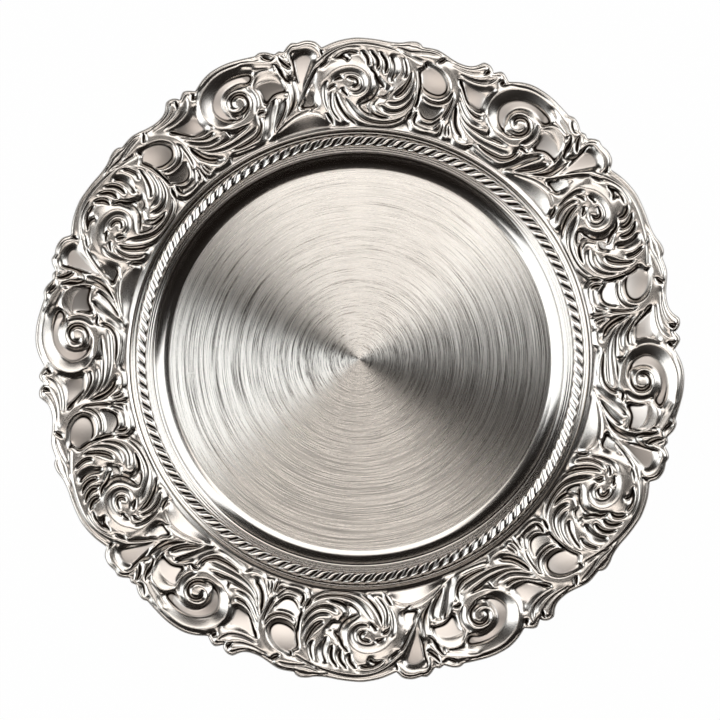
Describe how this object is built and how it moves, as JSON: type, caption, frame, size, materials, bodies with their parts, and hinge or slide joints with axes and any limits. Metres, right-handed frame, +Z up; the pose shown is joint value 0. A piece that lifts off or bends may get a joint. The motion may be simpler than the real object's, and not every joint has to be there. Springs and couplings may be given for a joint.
{
  "type": "decorative plate",
  "caption": "Round charger plate: brushed flat well, polished cove wall, rope moulding between reeded rings, and a scalloped rim of cast acanthus scrolls.",
  "frame": {"origin": "centre of the flat underside, on the surface that the plate rests on", "axes": "+Z up along the axis of the round dish; +X to the right and +Y to the top of the plate as pictured from above"},
  "size_m": [0.329, 0.327, 0.017],
  "materials": {
    "spun_dish": "nickel-tone plate over spun sheet, floor brushed in circles, cove wall polished",
    "trim_rings": "nickel-tone plate, polished",
    "cast_border": "nickel-tone plate over a cast relief, scrolls polished, sunk fields satin"
  },
  "bodies": {
    "root": {"dish": "spun_dish", "inner_reed": "trim_rings", "rope_wire": "trim_rings", "outer_reed": "trim_rings", "border_section_1": "cast_border", "border_section_2": "cast_border", "border_section_3": "cast_border", "border_section_4": "cast_border", "border_section_5": "cast_border", "border_section_6": "cast_border"}
  },
  "joints": []
}
